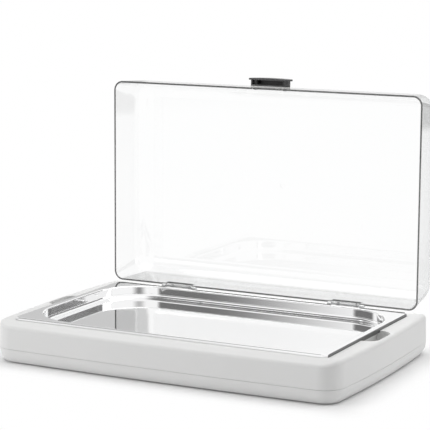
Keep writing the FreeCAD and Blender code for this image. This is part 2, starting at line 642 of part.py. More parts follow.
def hood():
    shell = hood_block(0).cut(hood_block(HOOD_WALL))
    half = BLOCK_WIDTH / 2 + LUG_GAP
    added = []
    cuts = []
    for side in (-1, 1):
        middle = side * HINGE_SPACING
        cuts.append(box(middle - half, middle + half, HOOD_DEPTH / 2 - 3 * HOOD_WALL, HOOD_DEPTH / 2 + 1,
                        HOOD_RIM_HEIGHT - 1, HOOD_RIM_HEIGHT + NOTCH_HEIGHT))
        for x0 in (middle - half - LUG_WIDTH, middle + half):
            added.append(lug_outline(x0, x0 + LUG_WIDTH))
            cuts.append(Part.makeCylinder(PIN_RADIUS + PIN_CLEARANCE, LUG_WIDTH + 2,
                                          Vector(x0 - 1, AXIS_Y, AXIS_Z), X_AXIS))
    for x in (-HANDLE_SCREW_SPACING / 2, HANDLE_SCREW_SPACING / 2):
        hole = Part.makeCylinder(HANDLE_SCREW_RADIUS + HANDLE_HOLE_CLEARANCE, 4 * HOOD_WALL,
                                 Vector(x, -2 * HOOD_WALL, 0), Y_AXIS)
        cuts.append(on_front_wall(hole))
    roof = HOOD_RIM_HEIGHT + HOOD_HEIGHT
    cuts.append(cylinder(GATE_RADIUS, 0, 0, roof - GATE_DEPTH, roof + 1))
    return swung_open(joined([shell] + added).cut(Part.makeCompound(cuts)))


def on_front_wall(shape):
    """Place a piece that is drawn on a wall at y = 0, facing -y, on the hood's front wall."""
    placed = shape.copy()
    placed.rotate(Vector(0, 0, 0), X_AXIS, -HOOD_DRAFT)
    placed.translate(Vector(0, -HOOD_DEPTH / 2 + HANDLE_HEIGHT * HOOD_SLOPE, HOOD_RIM_HEIGHT + HANDLE_HEIGHT))
    return placed


def upright_plate(half_x, half_z, radius, y0, y1):
    """Plate that stands facing -y, from y0 out to y1."""
    face = outline_face(rectangle(-half_x, half_x, -half_z, half_z, radius), lambda x, z: Vector(x, y0, z))
    return face.extrude(Vector(0, y1 - y0, 0))


def handle():
    back = -PAD_THICKNESS
    front = back - HANDLE_BODY_DEPTH
    half_x, half_z = HANDLE_WIDTH / 2, HANDLE_TALL / 2
    body = upright_plate(half_x, half_z, HANDLE_CORNER_RADIUS, back, front)
    cavity = box(-half_x + HANDLE_END_WALL, half_x - HANDLE_END_WALL, front, back - HANDLE_BACK_WALL,
                 -half_z - 1, half_z - HANDLE_TOP_WALL)
    body = body.cut(cavity)
    plate = upright_plate(PLATE_WIDTH / 2, PLATE_TALL / 2, HANDLE_CORNER_RADIUS, front,
                          front - PLATE_EDGE - PLATE_CROWN)
    half = PLATE_WIDTH / 2
    bow_radius = (half ** 2 + PLATE_CROWN ** 2) / (2 * PLATE_CROWN)
    bow = Part.makeCylinder(bow_radius, PLATE_TALL + 2,
                            Vector(0, front - PLATE_EDGE - PLATE_CROWN + bow_radius, -PLATE_TALL / 2 - 1))
    plate = plate.common(bow)
    parts = [body, plate]
    for x in (-HANDLE_SCREW_SPACING / 2, HANDLE_SCREW_SPACING / 2):
        parts.append(Part.makeCylinder(INSERT_BOSS_RADIUS, HANDLE_BODY_DEPTH, Vector(x, back, 0), -Y_AXIS))
    whole = joined(parts)
    for x in (-HANDLE_SCREW_SPACING / 2, HANDLE_SCREW_SPACING / 2):
        whole = whole.cut(Part.makeCylinder(INSERT_RADIUS, INSERT_LENGTH, Vector(x, back, 0), -Y_AXIS))
    return swung_open(on_front_wall(whole))


def handle_pad():
    pad = upright_plate(HANDLE_WIDTH / 2, HANDLE_TALL / 2, HANDLE_CORNER_RADIUS, 0, -PAD_THICKNESS)
    for x in (-HANDLE_SCREW_SPACING / 2, HANDLE_SCREW_SPACING / 2):
        pad = pad.cut(Part.makeCylinder(HANDLE_SCREW_RADIUS + HANDLE_HOLE_CLEARANCE, 3 * PAD_THICKNESS,
                                        Vector(x, PAD_THICKNESS, 0), -Y_AXIS))
    return swung_open(on_front_wall(pad))


def handle_inserts():
    inserts = []
    for x in (-HANDLE_SCREW_SPACING / 2, HANDLE_SCREW_SPACING / 2):
        start = Vector(x, -PAD_THICKNESS, 0)
        sleeve = Part.makeCylinder(INSERT_RADIUS, INSERT_LENGTH, start, -Y_AXIS)
        bore = Part.makeCylinder(HANDLE_SCREW_RADIUS + SCREW_HOLE_CLEARANCE, INSERT_LENGTH, start, -Y_AXIS)
        inserts.append(sleeve.cut(bore))
    return swung_open(on_front_wall(Part.makeCompound(inserts)))


def handle_screws():
    screws = []
    for x in (-HANDLE_SCREW_SPACING / 2, HANDLE_SCREW_SPACING / 2):
        head = Part.makeCylinder(HANDLE_SCREW_HEAD_RADIUS, HANDLE_SCREW_HEAD_HEIGHT,
                                 Vector(x, HOOD_WALL, 0), Y_AXIS)
        rim = [e for e in head.Edges if e.BoundBox.YMin > HOOD_WALL + HANDLE_SCREW_HEAD_HEIGHT - 0.01]
        head = head.makeFillet(HANDLE_SCREW_HEAD_HEIGHT / 2, rim)
        length = HOOD_WALL + PAD_THICKNESS + INSERT_LENGTH - HANDLE_SCREW_TIP_GAP
        shank = Part.makeCylinder(HANDLE_SCREW_RADIUS, length, Vector(x, HOOD_WALL, 0), -Y_AXIS)
        screws.append(head.fuse(shank))
    return swung_open(on_front_wall(Part.makeCompound(screws)))


# ------------------------------------------------------------ hinges

def heel_height(y):
    """Top of the block's heel, just under the open hood's back wall at y."""
    rim_y = AXIS_Y + HOOD_RIM_HEIGHT - AXIS_Z
    return AXIS_Z + AXIS_OFFSET + (y - rim_y) * HOOD_SLOPE - HEEL_CLEARANCE


def hinge_block(side):
    """Clear block: a knuckle round the pin, and a heel behind it that stops the open hood."""
    x0 = side * HINGE_SPACING - BLOCK_WIDTH / 2
    front = AXIS_Y - KNUCKLE_RADIUS
    knuckle_back = AXIS_Y + KNUCKLE_RADIUS
    back = AXIS_Y + BLOCK_REACH
    top = AXIS_Z + KNUCKLE_RADIUS
    crown = KNUCKLE_RADIUS - FOLD_MARGIN
    heel_front = heel_height(knuckle_back)
    points = [(front, DECK_HEIGHT, 0), (front, top, crown), (knuckle_back, top, crown),
              (knuckle_back, heel_front, 0), (back, heel_height(back), HEEL_ROUND), (back, DECK_HEIGHT, 0)]
    block = outline_face(points, lambda y, z: Vector(x0, y, z)).extrude(Vector(BLOCK_WIDTH, 0, 0))
    block = block.cut(Part.makeCylinder(PIN_RADIUS, BLOCK_WIDTH + 2, Vector(x0 - 1, AXIS_Y, AXIS_Z), X_AXIS))
    for x, y in hinge_screw_places():
        block = block.cut(cylinder(HINGE_SCREW_RADIUS, x, y, DECK_HEIGHT - 1, DECK_HEIGHT + HINGE_SCREW_GRIP))
    return block


def hinge_screws():
    """Screws from under the deck up into the blocks."""
    seat = DECK_HEIGHT - SHELL_WALL
    screws = []
    for x, y in hinge_screw_places():
        head = cylinder(HINGE_SCREW_HEAD_RADIUS, x, y, seat - HINGE_SCREW_HEAD_HEIGHT, seat)
        screws.append(head.fuse(cylinder(HINGE_SCREW_RADIUS, x, y, seat, DECK_HEIGHT + HINGE_SCREW_GRIP)))
    return Part.makeCompound(screws)


def hinge_pin(side):
    length = BLOCK_WIDTH + 2 * (LUG_GAP + LUG_WIDTH)
    start = Vector(side * HINGE_SPACING - length / 2, AXIS_Y, AXIS_Z)
    return Part.makeCylinder(PIN_RADIUS, length, start, X_AXIS)


# ------------------------------------------------------------ write every piece

os.makedirs("parts", exist_ok=True)
write("upper_shell", upper_shell())
write("lower_shell", lower_shell())
write("insulation_slab", insulation_slab())
write("case_screws", case_screws())
for name, (foot_x, foot_y) in foot_places().items():
    write("foot_" + name, foot(foot_x, foot_y))
for name, side in (("left", -1), ("right", 1)):
    write("cold_pack_" + name, cold_pack(side))
    write("cold_pack_plug_" + name, cold_pack_plug(side))
    write("hinge_block_" + name, hinge_block(side))
    write("hinge_pin_" + name, hinge_pin(side))
write("hinge_screws", hinge_screws())
write("steel_pan", steel_pan())
write("hood", hood())
write("handle", handle())
write("handle_pad", handle_pad())
write("handle_inserts", handle_inserts())
write("handle_screws", handle_screws())
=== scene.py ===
# %% [markdown]
# # A chilled food server with its hood open
# This notebook dresses a buffet server: an insulated white base, a mirror-polished steel pan, cold packs
# hidden under the pan, and a clear hood that stands open on two clear hinge blocks. The construction is
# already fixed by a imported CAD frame. Everything here sits exactly on that frame and only adds the looks.

# %% Load the frame
import json
import math

import bmesh
import bpy
from mathutils import Matrix, Vector


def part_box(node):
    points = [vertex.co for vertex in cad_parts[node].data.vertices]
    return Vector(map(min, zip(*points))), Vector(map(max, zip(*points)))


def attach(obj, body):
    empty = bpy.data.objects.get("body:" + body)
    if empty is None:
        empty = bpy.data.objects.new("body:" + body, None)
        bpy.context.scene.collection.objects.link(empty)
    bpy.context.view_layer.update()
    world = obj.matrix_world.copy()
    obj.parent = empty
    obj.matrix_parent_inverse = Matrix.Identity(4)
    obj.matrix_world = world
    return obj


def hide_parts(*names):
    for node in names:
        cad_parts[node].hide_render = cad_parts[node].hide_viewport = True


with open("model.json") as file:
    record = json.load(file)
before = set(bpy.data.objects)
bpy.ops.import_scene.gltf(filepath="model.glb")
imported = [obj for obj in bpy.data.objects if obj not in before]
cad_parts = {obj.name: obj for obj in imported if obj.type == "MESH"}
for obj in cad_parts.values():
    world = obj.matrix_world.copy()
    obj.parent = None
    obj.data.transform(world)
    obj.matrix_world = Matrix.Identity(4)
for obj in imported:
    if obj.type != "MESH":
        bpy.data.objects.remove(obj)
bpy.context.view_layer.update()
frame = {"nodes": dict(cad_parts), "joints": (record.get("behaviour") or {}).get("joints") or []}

print("frame nodes:", len(frame["nodes"]))

# %% [markdown]
# ## Sizes
# Blender works in metres, so each workshop size in millimetres is written as a number times MM. Places that
# the frame already knows, such as the pan's rim, the hood's faces and the hinge axis, are read from it.

# %% Sizes read from the frame
MM = 0.001
pan_low, pan_high = (Vector(corner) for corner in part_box("steel_pan"))
hood_low, hood_high = (Vector(corner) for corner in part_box("hood"))
hinge_axis = Vector(next(joint["pos_m"] for joint in frame["joints"] if joint["name"] == "hood_hinge"))
print("pan", [round(v, 4) for v in pan_high - pan_low], "hinge axis", [round(v, 4) for v in hinge_axis])

# %% [markdown]
# ## Helpers for pieces
# A piece is built in a bmesh, turned into an object at the origin, given its finish and told which body of
# the frame carries it. Edges sharper than a limit are marked sharp, and the Weighted Normal modifier keeps
# large flat faces flat beside their rounded edges, which matters on mirrors and clear plastic.

# %% Turn a bmesh into an object
def new_object(name, bm):
    """Object at the origin that holds the bmesh's faces; the bmesh is used up."""
    mesh = bpy.data.meshes.new(name)
    bm.to_mesh(mesh)
    bm.free()
    item = bpy.data.objects.new(name, mesh)
    bpy.context.scene.collection.objects.link(item)
    return item


# %% Turn a bmesh into a finished piece
SHARP_ANGLE = math.radians(32)
FLAT_FACE_WEIGHT = 80


def sharpen(bm):
    for face in bm.faces:
        face.smooth = True
    for edge in bm.edges:
        edge.smooth = len(edge.link_faces) == 2 and edge.calc_face_angle(0) < SHARP_ANGLE


def make_piece(name, bm, body, material, stands_for):
    """Piece that rides on a body of the frame and is drawn instead of the CAD nodes it stands for."""
    sharpen(bm)
    piece = new_object(name, bm)
    piece.data.materials.append(material)
    weighted = piece.modifiers.new("Flat faces stay flat", "WEIGHTED_NORMAL")
    weighted.keep_sharp = True
    weighted.weight = FLAT_FACE_WEIGHT
    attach(piece, body)
    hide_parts(*stands_for)
    print(name, len(piece.data.polygons), "faces")
    return piece


# %% Copy a CAD node as one joined skin
WELD_DISTANCE = 0.002 * MM
FLAT_ANGLE = math.radians(0.2)


def joined_copy(node):
    """Skin of a CAD node with its triangles welded, and joined where they lie in one plane."""
    bm = bmesh.new()
    bm.from_mesh(frame["nodes"][node].data)
    bmesh.ops.remove_doubles(bm, verts=bm.verts, dist=WELD_DISTANCE)
    bmesh.ops.dissolve_limit(bm, angle_limit=FLAT_ANGLE, verts=bm.verts, edges=bm.edges)
    return bm


# %% [markdown]
# ## Helpers for finishes
# Every finish is a Principled shader with a little life in it: a colour that drifts by a percent or two, as
# moulded plastic and polished metal do, and a fine bump for the grain. The patterns read Object coordinates,
# so they stay on the piece when it moves. A few small helpers make the nodes that come up again and again.

# %% Nodes that come up often
def feed(links, value, socket):
    """Wire a node's output into a socket, or set the socket to a number."""
    if isinstance(value, bpy.types.NodeSocket):
        links.new(value, socket)
    else:
        socket.default_value = value


def noise(nodes, links, scale, detail):
    texture = nodes.new("ShaderNodeTexNoise")
    texture.inputs["Scale"].default_value = scale
    texture.inputs["Detail"].default_value = detail
    where = nodes.new("ShaderNodeTexCoord")
    links.new(where.outputs["Object"], texture.inputs["Vector"])
    return texture.outputs["Fac"]


def number_step(nodes, links, operation, first, second):
    step = nodes.new("ShaderNodeMath")
    step.operation = operation
    feed(links, first, step.inputs[0])
    feed(links, second, step.inputs[1])
    return step.outputs["Value"]


def smooth_ramp(nodes, links, source, start, end):
    """0 up to the start, 1 from the end on, and a soft curve between them."""
    ramp = nodes.new("ShaderNodeMapRange")
    ramp.interpolation_type = "SMOOTHSTEP"
    ramp.inputs["From Min"].default_value = start
    ramp.inputs["From Max"].default_value = end
    links.new(source, ramp.inputs["Value"])
    return ramp.outputs["Result"]


def shader_mix(nodes, links, share, first, second):
    """The first shader, with a share of the second one mixed in."""
    mix = nodes.new("ShaderNodeMixShader")
    feed(links, share, mix.inputs["Fac"])
    links.new(first, mix.inputs[1])
    links.new(second, mix.inputs[2])
    return mix.outputs["Shader"]


# %% A Principled material with drifting colour and a fine bump
DRIFT_SCALE = 6.0


def new_finish(name, tint, other_tint, roughness, grain_scale, grain_depth, **settings):
    """The tint drifts to the other one; a larger grain_scale is a finer grain; grain_depth is in metres."""
    material = bpy.data.materials.new(name)
    material.use_nodes = True
    nodes, links = material.node_tree.nodes, material.node_tree.links
    shader = nodes["Principled BSDF"]
    shader.inputs["Roughness"].default_value = roughness
    for socket, value in settings.items():
        shader.inputs[socket.replace("_", " ")].default_value = value
    tint_mix = nodes.new("ShaderNodeMix")
    tint_mix.data_type = "RGBA"
    tint_mix.inputs["A"].default_value = (*tint, 1)
    tint_mix.inputs["B"].default_value = (*other_tint, 1)
    bump = nodes.new("ShaderNodeBump")
    bump.inputs["Strength"].default_value = 1.0
    bump.inputs["Distance"].default_value = grain_depth
    links.new(noise(nodes, links, DRIFT_SCALE, 3.0), tint_mix.inputs["Factor"])
    links.new(noise(nodes, links, grain_scale, 2.0), bump.inputs["Height"])
    links.new(tint_mix.outputs["Result"], shader.inputs["Base Color"])
    links.new(bump.outputs["Normal"], shader.inputs["Normal"])
    return material


# %% The finishes
white_shell = new_finish("moulded white", (0.755, 0.755, 0.75), (0.785, 0.785, 0.78), 0.45, 2600, 0.004 * MM)
mirror_steel = new_finish("mirror steel", (0.93, 0.93, 0.935), (0.96, 0.96, 0.96), 0.05, 24, 0.010 * MM,
                          Metallic=1.0)
# Painted shade: a dark steel for the pan rim's short sides, in place of their dark reflection and gap shadow.
painted_shade_steel = new_finish("painted shade steel", (0.22, 0.22, 0.225), (0.27, 0.27, 0.27), 0.35, 900, 0.006 * MM,
                       Metallic=1.0)
black_plastic = new_finish("black plastic", (0.070, 0.070, 0.071), (0.085, 0.085, 0.086), 0.38, 900,
                           0.006 * MM)
pale_pad = new_finish("pale pad", (0.62, 0.62, 0.61), (0.70, 0.70, 0.69), 0.5, 1500, 0.01 * MM)
bright_zinc = new_finish("bright zinc", (0.42, 0.42, 0.43), (0.55, 0.55, 0.56), 0.28, 1200, 0.01 * MM,
                         Metallic=1.0)
turned_brass = new_finish("turned brass", (0.60, 0.42, 0.16), (0.68, 0.50, 0.22), 0.3, 1400, 0.02 * MM,
                          Metallic=1.0)
black_rubber = new_finish("black rubber", (0.018, 0.018, 0.018), (0.03, 0.03, 0.03), 0.8, 1800, 0.03 * MM)
bead_foam = new_finish("bead foam", (0.80, 0.80, 0.78), (0.88, 0.88, 0.86), 0.85, 260, 0.5 * MM)
pack_plastic = new_finish("pack plastic", (0.24, 0.48, 0.68), (0.32, 0.58, 0.76), 0.35, 140, 0.15 * MM)
plug_plastic = new_finish("plug plastic", (0.72, 0.72, 0.70), (0.78, 0.78, 0.76), 0.45, 1500, 0.01 * MM)
print("materials, with the frame's own:", len(bpy.data.materials))

# %% [markdown]
# ## Clear plastic
# The hood and hinge blocks are clear acrylic. A real sheet lets almost all the light of a lamp through, which
# a plain glass shader doesn't, so a Transparent shader is mixed in for the rays that look for lamps. Acrylic
# is seen mostly at its edges and folds, where the eye looks along the sheet; a Layer Weight node greys the
# tint there as painted shade, and a weak absorption darkens the rim that light travels far inside.

# %% Clear acrylic
GRAZING_START = 0.50      # 0 looks straight at the sheet, 1 along it


def clear_finish(name, painted_edge_shade, absorption, straight):
    """Clear acrylic; the share named straight passes through unbent."""
    material = new_finish(name, (0.985, 0.99, 0.99), (1, 1, 1), 0.015, 9, 0.004 * MM,
                          IOR=1.49, Transmission_Weight=1.0)
    nodes, links = material.node_tree.nodes, material.node_tree.links
    shader, output = nodes["Principled BSDF"], nodes["Material Output"]
    # Painted shade: where the eye looks along the sheet, the tint turns to the darker edge colour, standing
    # in for the dark lines that refraction shows there.
    facing = nodes.new("ShaderNodeLayerWeight")
    grazing = smooth_ramp(nodes, links, facing.outputs["Facing"], GRAZING_START, 1.0)
    edge_shade_mix = nodes.new("ShaderNodeMix")
    edge_shade_mix.data_type = "RGBA"
    edge_shade_mix.inputs["B"].default_value = (*painted_edge_shade, 1)
    links.new(grazing, edge_shade_mix.inputs["Factor"])
    links.new(nodes["Mix"].outputs["Result"], edge_shade_mix.inputs["A"])
    links.new(edge_shade_mix.outputs["Result"], shader.inputs["Base Color"])
    clear = nodes.new("ShaderNodeBsdfTransparent")
    clear.inputs["Color"].default_value = (0.95, 0.95, 0.95, 1)
    seen = shader_mix(nodes, links, straight, shader.outputs["BSDF"], clear.outputs["BSDF"])
    ray = nodes.new("ShaderNodeLightPath")
    surface = shader_mix(nodes, links, ray.outputs["Is Shadow Ray"], seen, clear.outputs["BSDF"])
    links.new(surface, output.inputs["Surface"])
    inside = nodes.new("ShaderNodeVolumeAbsorption")
    inside.inputs["Color"].default_value = (0.72, 0.76, 0.76, 1)
    inside.inputs["Density"].default_value = absorption
    links.new(inside.outputs["Volume"], output.inputs["Volume"])
    return material


# The hood's rim and the hinge blocks bend the view so strongly that they would look black, so a share of
# their light passes straight: very little in the hood, which must stay crisp, and more in the thick blocks.
# The first colour of each is the painted shade at grazing edges: dark on the hood, lighter on the blocks.
clear_acrylic = clear_finish("clear acrylic", (0.36, 0.37, 0.37), 0.8, 0.03)
clear_block = clear_finish("clear block", (0.75, 0.76, 0.76), 1.0, 0.6)

# %% [markdown]
# ## The steel pan
# A standard food pan is one sheet of steel, pressed: a flange with a turned-down edge, a rolled lip, a well
# with large corner radii and a flat floor. It could be carved from blocks, but a sheet is easier to make as a
# sheet: four rounded outlines are bridged, their folds are bevelled round, and the skin gets its thickness.

# %% Rounded outlines, and skins between them
CORNER_STEPS = 24
START_ANGLE = 0.05      # just past the middle of the right side, where no outline has an edge's middle


def rounded_loop(bm, width, depth, radius, height):
    """Edges of a level rectangle with round corners, centred on the Z axis and sorted round it."""
    before = set(bm.edges)
    corners = bmesh.ops.create_grid(bm, x_segments=1, y_segments=1, size=0.5)["verts"]
    bmesh.ops.scale(bm, vec=(width, depth, 1), verts=corners)
    bmesh.ops.translate(bm, vec=(0, 0, height), verts=corners)
    bmesh.ops.bevel(bm, geom=corners, offset=radius, affect="VERTICES", segments=CORNER_STEPS, profile=0.5,
                    material=-1)
    loop = [edge for edge in bm.edges if edge not in before]
    faces = dict.fromkeys(face for edge in loop for face in edge.link_faces)
    bmesh.ops.delete(bm, geom=list(faces), context="FACES_ONLY")
    return sorted(loop, key=turn_of)


def turn_of(edge):
    """Angle of the edge's middle round the Z axis, from START_ANGLE on."""
    middle = (edge.verts[0].co + edge.verts[1].co) / 2
    return (math.atan2(middle.y, middle.x) - START_ANGLE) % math.tau


def bridge(bm, first, second):
    for pair in zip(first, second):
        bmesh.ops.contextual_create(bm, geom=list(pair))


def round_over(bm, edges, offset, segments):
    bmesh.ops.bevel(bm, geom=edges, offset=offset, affect="EDGES", segments=segments, profile=0.5,
                    material=-1)


# %% Press the pan
PAN_SHEET = 0.8 * MM
PAN_RIM_RADIUS = 10 * MM
PAN_FLANGE = 11.5 * MM
PAN_WELL_RADIUS = 80 * MM
PAN_SKIRT = 7.7 * MM
RIM_FOLD_SIZE = 2 * MM
LIP_FOLD_SIZE = 2.5 * MM
FLOOR_FOLD_SIZE = 7 * MM

pan_size = pan_high - pan_low
well_width, well_depth = pan_size.x - 2 * PAN_FLANGE, pan_size.y - 2 * PAN_FLANGE
bm = bmesh.new()
skirt_foot = rounded_loop(bm, pan_size.x, pan_size.y, PAN_RIM_RADIUS, pan_high.z - PAN_SKIRT)
rim_fold = rounded_loop(bm, pan_size.x, pan_size.y, PAN_RIM_RADIUS, pan_high.z)
lip_fold = rounded_loop(bm, well_width, well_depth, PAN_WELL_RADIUS, pan_high.z)
floor_fold = rounded_loop(bm, well_width, well_depth, PAN_WELL_RADIUS, pan_low.z + PAN_SHEET)
bridge(bm, skirt_foot, rim_fold)
bridge(bm, rim_fold, lip_fold)
bridge(bm, lip_fold, floor_fold)
floor_face = bmesh.ops.contextual_create(bm, geom=floor_fold)["faces"][0]
bmesh.ops.recalc_face_normals(bm, faces=bm.faces)
if floor_face.normal.z < 0:
    bmesh.ops.reverse_faces(bm, faces=bm.faces)
round_over(bm, rim_fold, RIM_FOLD_SIZE, 5)
round_over(bm, lip_fold, LIP_FOLD_SIZE, 6)
round_over(bm, floor_fold, FLOOR_FOLD_SIZE, 8)
bmesh.ops.solidify(bm, geom=bm.faces[:], thickness=PAN_SHEET)
# The outer faces of the turned-down rim on the short sides take the second finish, a dark steel that paints
# in the shade and dark reflection these faces show.
for face in bm.faces:
    if abs(face.normal.x) > 0.9 and abs(face.calc_center_median().x) > pan_size.x / 2 - PAN_SHEET:
        face.material_index = 1
pan = make_piece("pressed_pan", bm, "pan", mirror_steel, ["steel_pan"])
pan.data.materials.append(painted_shade_steel)

# %% [markdown]
# ## The hood
# The hood is a deep tray of clear plastic, moulded upside down, with walls that lean in a little and a roof
# edge of large radius. It is built closed, because its outlines are level then, and swung open at the end.

# %% Carve and weld finished solids
def boolean_with(bm, other, operation):
    """The bmesh's solid after cutting or welding another solid; both are used up."""
    work, tool = new_object("work", bm), new_object("tool", other)
    modifier = work.modifiers.new("Boolean", "BOOLEAN")
    modifier.object = tool
    modifier.operation = operation
    modifier.solver = "EXACT"
    done = bpy.data.meshes.new_from_object(work.evaluated_get(bpy.context.evaluated_depsgraph_get()))
    result = bmesh.new()
    result.from_mesh(done)
    for item in (work, tool):
        mesh = item.data
        bpy.data.objects.remove(item)
        bpy.data.meshes.remove(mesh)
    bpy.data.meshes.remove(done)
    return result


def add_rod(bm, radius, length, matrix, segments=32):
    """Closed cylinder along local Z, from the matrix's origin."""
    bmesh.ops.create_cone(bm, cap_ends=True, segments=segments, radius1=radius, radius2=radius, depth=length,
                          matrix=matrix @ Matrix.Translation((0, 0, length / 2)))


# %% Mould the hood closed
HOOD_WALL = 2.8 * MM
HOOD_DRAFT = math.radians(2.7)
HOOD_RIM_RADIUS = 16 * MM
HOOD_ROOF_RADIUS = 32 * MM
HOOD_EDGE_RADIUS = 30 * MM
AXIS_OFFSET = 2.25 * MM
HINGE_SPACING = 153 * MM
BLOCK_WIDTH = 49 * MM
EAR_GAP = 0.5 * MM
EAR_WIDTH = 7 * MM
EAR_RADIUS = 3.1 * MM
NOTCH_HEIGHT = 10.8 * MM

hood_width = hood_high.x - hood_low.x
hood_height = hood_high.y - hood_low.y
hood_depth = 2 * (hinge_axis.y - AXIS_OFFSET)
rim_height = hinge_axis.z - (hinge_axis.y - hood_low.y)
roof_height = rim_height + hood_height
lean = hood_height * math.tan(HOOD_DRAFT)
bm = bmesh.new()
rim = rounded_loop(bm, hood_width, hood_depth, HOOD_RIM_RADIUS, rim_height)
roof = rounded_loop(bm, hood_width - 2 * lean, hood_depth - 2 * lean, HOOD_ROOF_RADIUS, roof_height)
bridge(bm, rim, roof)
roof_face = bmesh.ops.contextual_create(bm, geom=roof)["faces"][0]
bmesh.ops.recalc_face_normals(bm, faces=bm.faces)
if roof_face.normal.z < 0:
    bmesh.ops.reverse_faces(bm, faces=bm.faces)
fold_angle = math.pi / 2 - HOOD_DRAFT
round_over(bm, roof, HOOD_EDGE_RADIUS * math.tan(fold_angle / 2), 12)
print("hood closed:", round(hood_width, 4), round(hood_depth, 4), round(hood_height, 4))

# %% Cut the hinge notches, then give the skin its wall
notch_half = BLOCK_WIDTH / 2 + EAR_GAP
back_from = 0.4 * hood_depth      # the back wall and its two corners lie behind this line
cuts = [(Vector((side * HINGE_SPACING + x, 0, 0)), Vector((1, 0, 0)))
        for side in (-1, 1) for x in (-notch_half, notch_half)]
cuts.append((Vector((0, 0, rim_height + NOTCH_HEIGHT)), Vector((0, 0, 1))))
for place, normal in cuts:
    wall = [face for face in bm.faces if face.normal.y > 0.9 and face.calc_center_median().y > back_from]
    geometry = dict.fromkeys(part for face in wall for part in (face, *face.edges, *face.verts))
    bmesh.ops.bisect_plane(bm, geom=list(geometry), plane_co=place, plane_no=normal, dist=0.001 * MM)
in_notch = []
for face in bm.faces:
    middle = face.calc_center_median()
    at_block = abs(abs(middle.x) - HINGE_SPACING) < notch_half
    if middle.y > back_from and middle.z < rim_height + NOTCH_HEIGHT and at_block:
        in_notch.append(face)
bmesh.ops.delete(bm, geom=in_notch, context="FACES")
bmesh.ops.solidify(bm, geom=bm.faces[:], thickness=HOOD_WALL)
# The wall grows square to the leaning skin, so its inner edge would hang below the rim and meet the deck.
for vert in bm.verts:
    vert.co.z = max(vert.co.z, rim_height)
print("faces removed for the notches:", len(in_notch))

# %% Weld the hinge ears on, drill the holes and swing the hood open
PIN_RADIUS = 1.25 * MM
PIN_CLEARANCE = 0.05 * MM
HANDLE_SCREW_SPACING = 53 * MM
HANDLE_HEIGHT = 32.5 * MM
SCREW_HOLE_RADIUS = 2.2 * MM
GATE_RADIUS = 4 * MM
GATE_DEPTH = 0.4 * MM
EAR_REACH = 0.6      # share of the wall that the ears' roots reach into, so that they weld to it

along_x = Matrix.Rotation(math.pi / 2, 4, "Y")
along_y = Matrix.Rotation(-math.pi / 2, 4, "X")
ears = bmesh.new()
holes = bmesh.new()
for side in (-1, 1):
    for start in (side * HINGE_SPACING - notch_half - EAR_WIDTH, side * HINGE_SPACING + notch_half):
        place = Matrix.Translation((start, hinge_axis.y, hinge_axis.z)) @ along_x
        add_rod(ears, EAR_RADIUS, EAR_WIDTH, place)
        add_rod(holes, PIN_RADIUS + PIN_CLEARANCE, EAR_WIDTH + 2 * MM,
                Matrix.Translation((start - MM, hinge_axis.y, hinge_axis.z)) @ along_x)
for vert in ears.verts:
    if vert.co.y < hinge_axis.y - 0.1 * MM:
        vert.co.y = hood_depth / 2 - EAR_REACH * HOOD_WALL
for x in (-HANDLE_SCREW_SPACING / 2, HANDLE_SCREW_SPACING / 2):
    add_rod(holes, SCREW_HOLE_RADIUS, 4 * HOOD_WALL,
            Matrix.Translation((x, -hood_depth / 2 - HOOD_WALL, rim_height + HANDLE_HEIGHT)) @ along_y)
add_rod(holes, GATE_RADIUS, GATE_DEPTH + MM, Matrix.Translation((0, 0, roof_height - GATE_DEPTH)))
bm = boolean_with(bm, ears, "UNION")
bm = boolean_with(bm, holes, "DIFFERENCE")
bmesh.ops.rotate(bm, cent=hinge_axis, matrix=Matrix.Rotation(-math.pi / 2, 3, "X"), verts=bm.verts)
make_piece("clear_hood", bm, "hood", clear_acrylic, ["hood"])

# %% [markdown]
# ## The shells, hinge blocks and handle
# These shapes come straight from the frame. A CAD mesh is loose triangles, so each is copied, joined into one
# skin and shaded smooth. Moulded edges are never knife sharp, and a sharp edge catches no light, so the ones
# that show are rounded by a fraction of a millimetre.

# %% Round the sharp edges of a skin that pass a test
def soften(bm, size, is_wanted, least_angle=math.radians(55)):
    """Bevel sharp outer edges whose two ends pass the test; returns how many were found."""
    edges = []
    for edge in bm.edges:
        if len(edge.link_faces) == 2 and edge.calc_face_angle_signed(0) > least_angle:
            if all(is_wanted(vert.co) for vert in edge.verts):
                edges.append(edge)
    bmesh.ops.bevel(bm, geom=edges, offset=size, affect="EDGES", segments=3, profile=0.5, material=-1,
                    clamp_overlap=True)
    return len(edges)


# %% Base shells
DECK_EDGE_SIZE = 0.7 * MM

deck_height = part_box("upper_shell")[1][2]
upper_skin = joined_copy("upper_shell")
print("deck edges rounded:", soften(upper_skin, DECK_EDGE_SIZE, lambda co: co.z > deck_height - 0.05 * MM))
make_piece("upper_shell_skin", upper_skin, "base", white_shell, ["upper_shell"])
make_piece("lower_shell_skin", joined_copy("lower_shell"), "base", white_shell, ["lower_shell"])

# %% Hinge blocks
BLOCK_EDGE_SIZE = 0.4 * MM

for side in ("left", "right"):
    block_skin = joined_copy("hinge_block_" + side)
    low, high = (Vector(corner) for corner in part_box("hinge_block_" + side))
    # The edges of the block's two ends, without those of the pin's hole.
    rounded = soften(block_skin, BLOCK_EDGE_SIZE, lambda co: min(co.x - low.x, high.x - co.x) < 0.01 * MM
                     and (co.yz - hinge_axis.yz).length > 2 * MM)
    print("block edges rounded:", rounded)
    make_piece("hinge_block_skin_" + side, block_skin, "base", clear_block, ["hinge_block_" + side])

# %% Handle and pad
HANDLE_EDGE_SIZE = 0.5 * MM
HANDLE_PLATE = 6 * MM      # the handle's plate, the part that shows most, lies within this of its top

